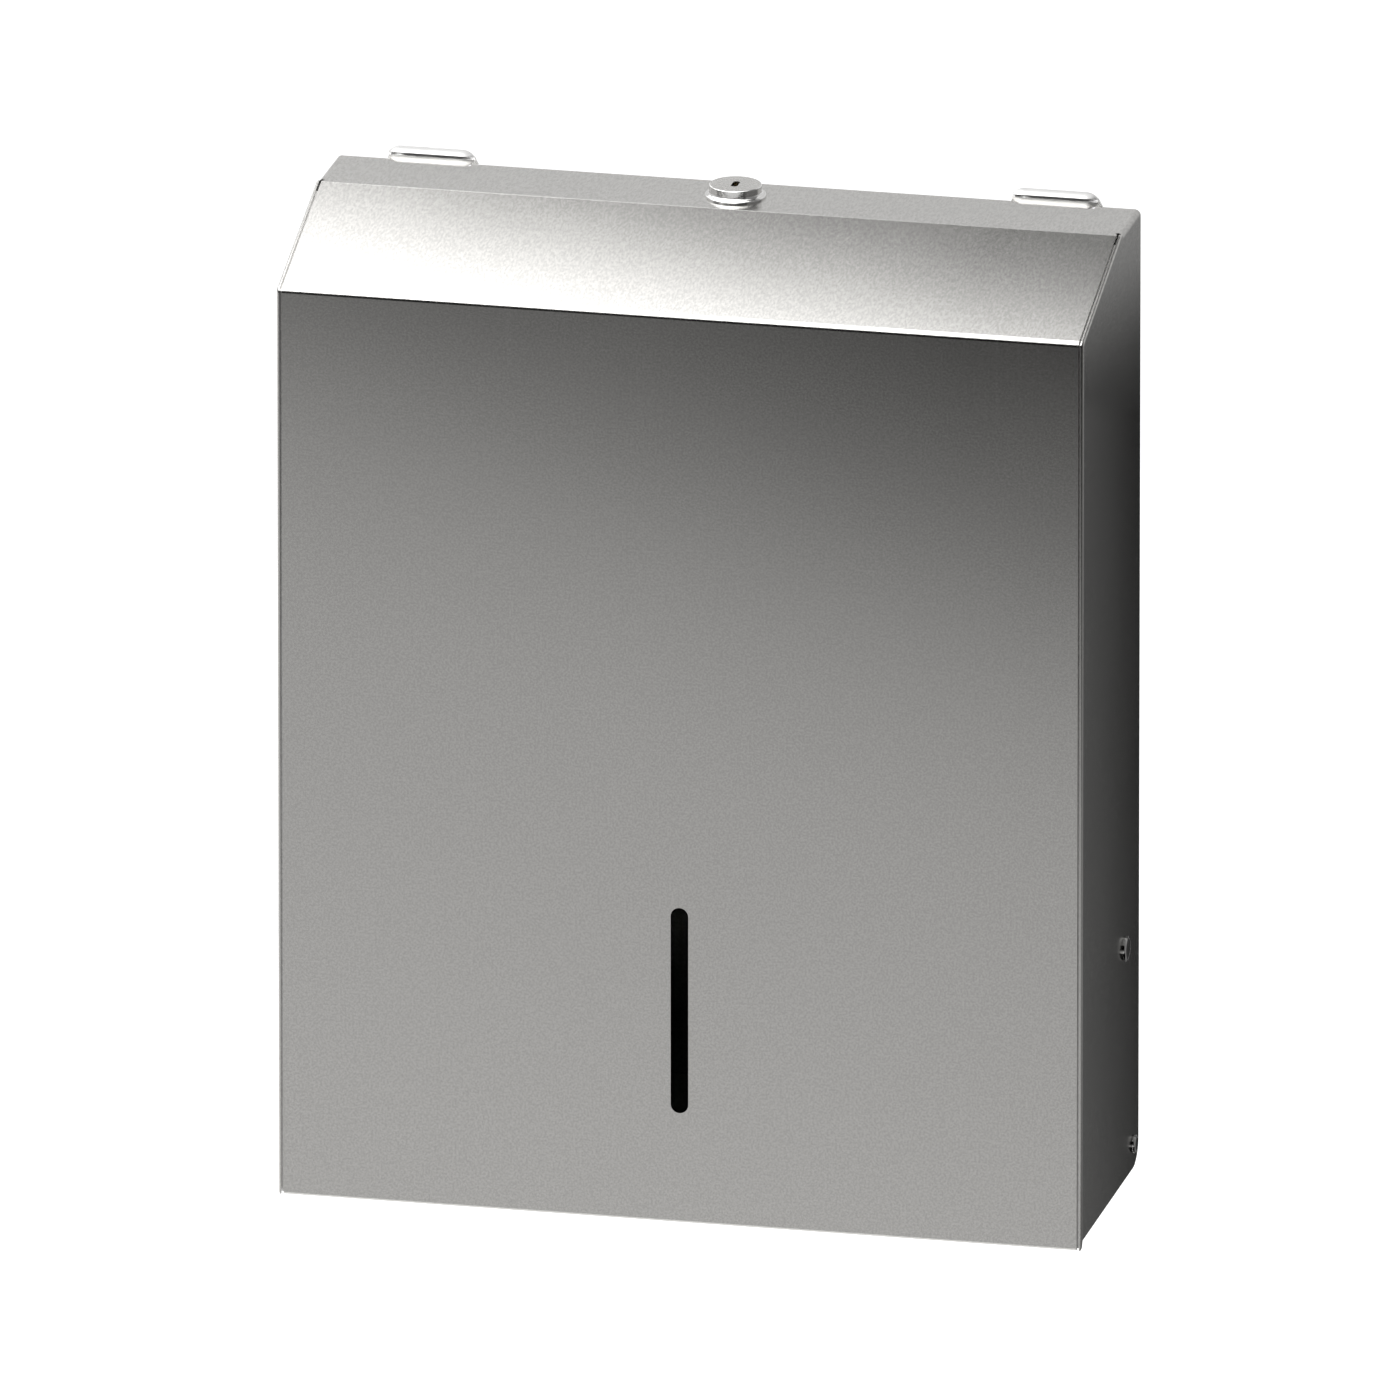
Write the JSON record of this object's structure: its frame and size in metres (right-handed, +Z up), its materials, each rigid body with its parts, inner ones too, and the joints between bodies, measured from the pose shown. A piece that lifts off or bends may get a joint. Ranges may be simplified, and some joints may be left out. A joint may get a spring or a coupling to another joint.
{
  "type": "paper towel dispenser",
  "caption": "Wall-mounted cabinet for folded paper towels: a folded steel cover with a viewing slot and key lock swings down from a wall frame with a bottom towel outlet.",
  "frame": {"origin": "centre of the four wall screw holes, on the wall face of the back plate", "axes": "+X to the right as seen from the front, +Y into the wall, +Z up"},
  "size_m": [0.2776, 0.089, 0.3428],
  "materials": {
    "satin_steel": "satin stainless steel sheet",
    "frame_steel": "mill stainless steel sheet",
    "polished_steel": "polished",
    "rivet_steel": "plain stainless rivet",
    "plated_steel": "bright zinc plating",
    "lock_brass": "machined brass",
    "nylon": "natural nylon"
  },
  "bodies": {
    "wall_frame": {"back_plate": "frame_steel", "left_cheek": "frame_steel", "right_cheek": "frame_steel", "towel_tray": "frame_steel", "lock_strike": "plated_steel", "left_top_lug": "polished_steel", "right_top_lug": "polished_steel", "left_hinge_pin": "rivet_steel", "right_hinge_pin": "rivet_steel", "hinge_washers": "nylon", "hinge_rings": "plated_steel", "cheek_rivets": "rivet_steel", "tray_rivets": "rivet_steel"},
    "cover": {"cover_shell": "satin_steel", "left_seam_angle": "frame_steel", "right_seam_angle": "frame_steel", "left_stop_pin": "rivet_steel", "right_stop_pin": "rivet_steel", "stop_bushes": "nylon", "stop_washers": "plated_steel", "lock_housing": "polished_steel", "lock_washer": "plated_steel", "lock_nut": "plated_steel"},
    "lock_rotor": {"lock_plug": "lock_brass", "cam_washer": "plated_steel", "lock_cam": "plated_steel", "cam_screw": "plated_steel"}
  },
  "joints": [
    {"name": "cover_hinge", "type": "hinge", "parent": "wall_frame", "child": "cover", "pos_m": [0, -0.009, -0.1567], "axis": [1, 0, 0], "range_deg": [0, 50]},
    {"name": "lock_turn", "type": "hinge", "parent": "cover", "child": "lock_rotor", "pos_m": [0.0025, -0.0155, 0.16], "axis": [0, 0, -1], "range_deg": [0, 90]}
  ]
}
